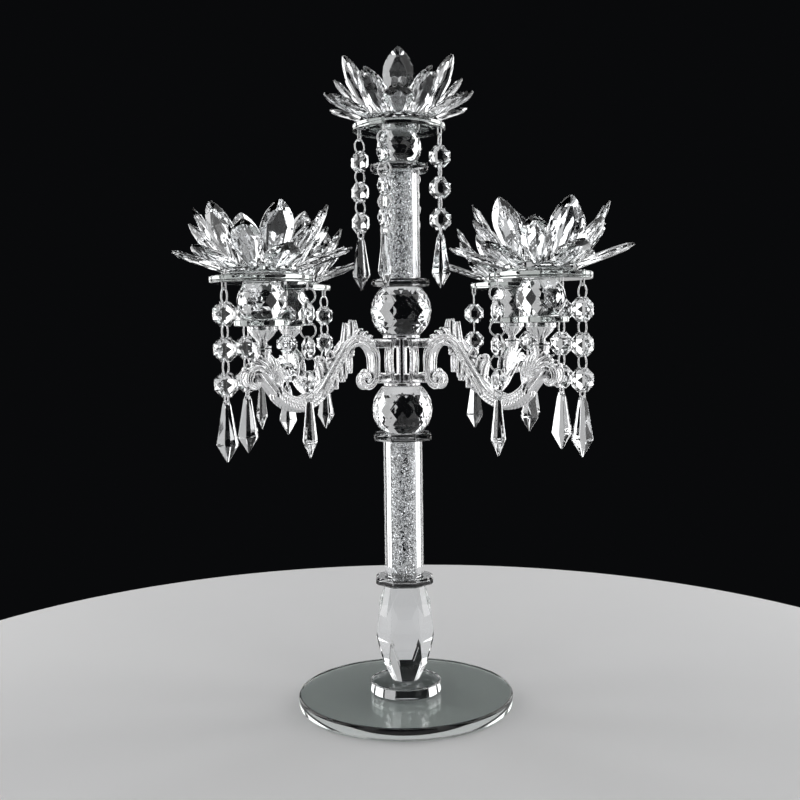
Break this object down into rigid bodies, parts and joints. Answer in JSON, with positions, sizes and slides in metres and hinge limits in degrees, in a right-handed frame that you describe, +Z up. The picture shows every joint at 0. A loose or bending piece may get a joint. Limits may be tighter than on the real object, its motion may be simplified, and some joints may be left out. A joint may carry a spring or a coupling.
{
  "type": "candelabrum",
  "caption": "Crystal candelabrum: faceted glass column on a round plate, cast scroll arms, lotus-shaped tealight holders and hanging octagon bead strings.",
  "frame": {"origin": "centre of the underside of the round base plate, on the table", "axes": "+Z up along the column, -Y towards the viewer, arms along the diagonals of X and Y"},
  "size_m": [0.2714, 0.2668, 0.4269],
  "materials": {
    "crystal": "polished clear crystal with sharp cut facets",
    "float_glass": "polished plate glass, faintly green at the edge",
    "crystal_chips": "loose broken crystal chips, sparkling",
    "silver_plate": "bright plated zinc casting with darker recesses"
  },
  "bodies": {
    "root": {"arm_back_left": "silver_plate", "arm_back_right": "silver_plate", "arm_front_left": "silver_plate", "arm_front_right": "silver_plate", "ball_back_left": "crystal", "ball_back_right": "crystal", "ball_front_left": "crystal", "ball_front_right": "crystal", "ball_top": "crystal", "baluster": "crystal", "base_plate": "float_glass", "bobeche_back_left": "float_glass", "bobeche_back_right": "float_glass", "bobeche_front_left": "float_glass", "bobeche_front_right": "float_glass", "bobeche_top": "float_glass", "foot_collar": "crystal", "foot_disc": "crystal", "hub_bottom_plate": "silver_plate", "hub_top_plate": "silver_plate", "hub_tube": "silver_plate", "lotus_back_left": "crystal", "lotus_back_right": "crystal", "lotus_front_left": "crystal", "lotus_front_right": "crystal", "lotus_top": "crystal", "lower_ball": "crystal", "lower_chips": "crystal_chips", "lower_collar": "crystal", "lower_tube": "crystal", "mid_collar": "crystal", "saucer_back_left": "float_glass", "saucer_back_right": "float_glass", "saucer_front_left": "float_glass", "saucer_front_right": "float_glass", "top_collar": "crystal", "upper_ball": "crystal", "upper_chips": "crystal_chips", "upper_tube": "crystal", "vase_back_left": "silver_plate", "vase_back_right": "silver_plate", "vase_front_left": "silver_plate", "vase_front_right": "silver_plate"},
    "string_top_1": {"string_top_1": "crystal"},
    "string_top_2": {"string_top_2": "crystal"},
    "string_top_3": {"string_top_3": "crystal"},
    "string_top_4": {"string_top_4": "crystal"},
    "string_front_left_1": {"string_front_left_1": "crystal"},
    "string_front_left_2": {"string_front_left_2": "crystal"},
    "string_front_left_3": {"string_front_left_3": "crystal"},
    "string_front_right_1": {"string_front_right_1": "crystal"},
    "string_front_right_2": {"string_front_right_2": "crystal"},
    "string_front_right_3": {"string_front_right_3": "crystal"},
    "string_back_right_1": {"string_back_right_1": "crystal"},
    "string_back_right_2": {"string_back_right_2": "crystal"},
    "string_back_right_3": {"string_back_right_3": "crystal"},
    "string_back_left_1": {"string_back_left_1": "crystal"},
    "string_back_left_2": {"string_back_left_2": "crystal"},
    "string_back_left_3": {"string_back_left_3": "crystal"}
  },
  "joints": [
    {"name": "string_top_1_swing", "type": "hinge", "parent": "root", "child": "string_top_1", "pos_m": [-0.00958, -0.02631, 0.379], "axis": [-0.8829, 0.4695, 0], "range_deg": [0, 40]},
    {"name": "string_top_2_swing", "type": "hinge", "parent": "root", "child": "string_top_2", "pos_m": [0.02631, -0.00958, 0.379], "axis": [0.1392, -0.9903, 0], "range_deg": [-2, 45]},
    {"name": "string_top_3_swing", "type": "hinge", "parent": "root", "child": "string_top_3", "pos_m": [0.00958, 0.02631, 0.379], "axis": [0.9397, -0.342, 0], "range_deg": [0, 45]},
    {"name": "string_top_4_swing", "type": "hinge", "parent": "root", "child": "string_top_4", "pos_m": [-0.02631, 0.00958, 0.379], "axis": [0.6428, 0.766, 0], "range_deg": [-2, 22]},
    {"name": "string_front_left_1_swing", "type": "hinge", "parent": "root", "child": "string_front_left_1", "pos_m": [-0.10076, -0.10283, 0.2779], "axis": [0.2079, 0.9781, 0], "range_deg": [-30, 30]},
    {"name": "string_front_left_2_swing", "type": "hinge", "parent": "root", "child": "string_front_left_2", "pos_m": [-0.05464, -0.08785, 0.2779], "axis": [-0.9945, 0.1045, 0], "range_deg": [-15, 45]},
    {"name": "string_front_left_3_swing", "type": "hinge", "parent": "root", "child": "string_front_left_3", "pos_m": [-0.09517, -0.0573, 0.2779], "axis": [0.1736, 0.9848, 0], "range_deg": [-13, 45]},
    {"name": "string_front_right_1_swing", "type": "hinge", "parent": "root", "child": "string_front_right_1", "pos_m": [0.05571, -0.0916, 0.2779], "axis": [-0.9945, -0.1045, 0], "range_deg": [-18, 45]},
    {"name": "string_front_right_2_swing", "type": "hinge", "parent": "root", "child": "string_front_right_2", "pos_m": [0.10347, -0.10002, 0.2779], "axis": [0.342, -0.9397, 0], "range_deg": [-30, 30]},
    {"name": "string_front_right_3_swing", "type": "hinge", "parent": "root", "child": "string_front_right_3", "pos_m": [0.09768, -0.05881, 0.2779], "axis": [-0.5, -0.866, 0], "range_deg": [-30, 15]},
    {"name": "string_back_right_1_swing", "type": "hinge", "parent": "root", "child": "string_back_right_1", "pos_m": [0.05445, 0.08689, 0.2779], "axis": [0.0698, 0.9976, 0], "range_deg": [-16, 45]},
    {"name": "string_back_right_2_swing", "type": "hinge", "parent": "root", "child": "string_back_right_2", "pos_m": [0.0916, 0.05571, 0.2779], "axis": [0.1736, -0.9848, 0], "range_deg": [-22, 30]},
    {"name": "string_back_right_3_swing", "type": "hinge", "parent": "root", "child": "string_back_right_3", "pos_m": [0.10002, 0.10347, 0.2779], "axis": [0.866, 0.5, 0], "range_deg": [-30, 30]},
    {"name": "string_back_left_1_swing", "type": "hinge", "parent": "root", "child": "string_back_left_1", "pos_m": [-0.08202, 0.05402, 0.2779], "axis": [-0.2079, 0.9781, 0], "range_deg": [-7, 30]},
    {"name": "string_back_left_2_swing", "type": "hinge", "parent": "root", "child": "string_back_left_2", "pos_m": [-0.05778, 0.09602, 0.2779], "axis": [-0.5, -0.866, 0], "range_deg": [-30, 30]},
    {"name": "string_back_left_3_swing", "type": "hinge", "parent": "root", "child": "string_back_left_3", "pos_m": [-0.10627, 0.09602, 0.2779], "axis": [0.9848, -0.1736, 0], "range_deg": [-30, 30]}
  ]
}
